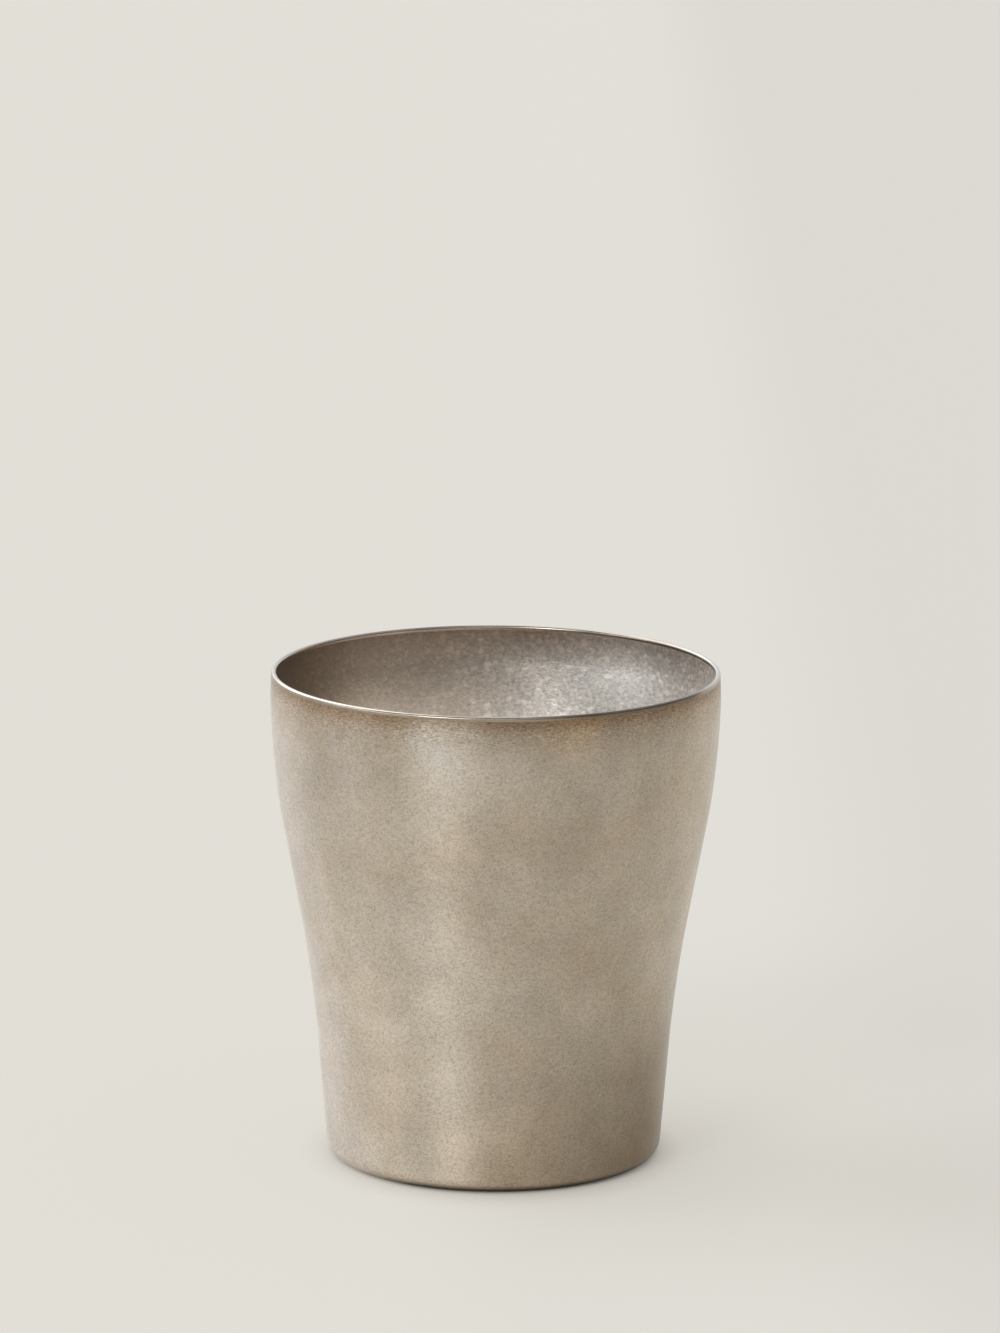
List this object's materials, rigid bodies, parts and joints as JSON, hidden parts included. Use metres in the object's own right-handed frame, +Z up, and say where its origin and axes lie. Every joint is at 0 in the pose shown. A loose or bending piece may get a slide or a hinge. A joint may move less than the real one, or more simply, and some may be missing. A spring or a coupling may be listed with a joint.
{
  "type": "double-wall metal tumbler",
  "caption": "Handleless double-wall titanium drinking cup with a flared mouth, thin polished lip, crystal-grain interior and vacuum jacket.",
  "frame": {"origin": "on the standing plane, on the axis of the cup", "axes": "+Z up along the axis of the cup, towards its mouth; +X towards the getter inside the base; -Y towards the viewer of the picture"},
  "size_m": [0.0818, 0.0818, 0.09],
  "materials": {
    "satin_titanium": "bead-blasted satin, warm beige-grey with soft oxide clouds",
    "crystal_titanium": "crystallised, with grains about a millimetre across",
    "polished_titanium": "polished",
    "pressed_titanium": "pressed sheet with fine circular lines",
    "weld_titanium": "dressed weld bead",
    "solder": "dull, as melted",
    "sintered_powder": "matt sintered powder",
    "spring_strip": "bright rolled strip"
  },
  "bodies": {
    "root": {"outer_shell": "satin_titanium", "inner_liner": "crystal_titanium", "lip_weld_bead": "polished_titanium", "base_pan": "pressed_titanium", "base_cover": "pressed_titanium", "base_seam_weld": "weld_titanium", "port_solder_seal": "solder", "getter_pellet": "sintered_powder", "getter_clip": "spring_strip"}
  },
  "joints": []
}
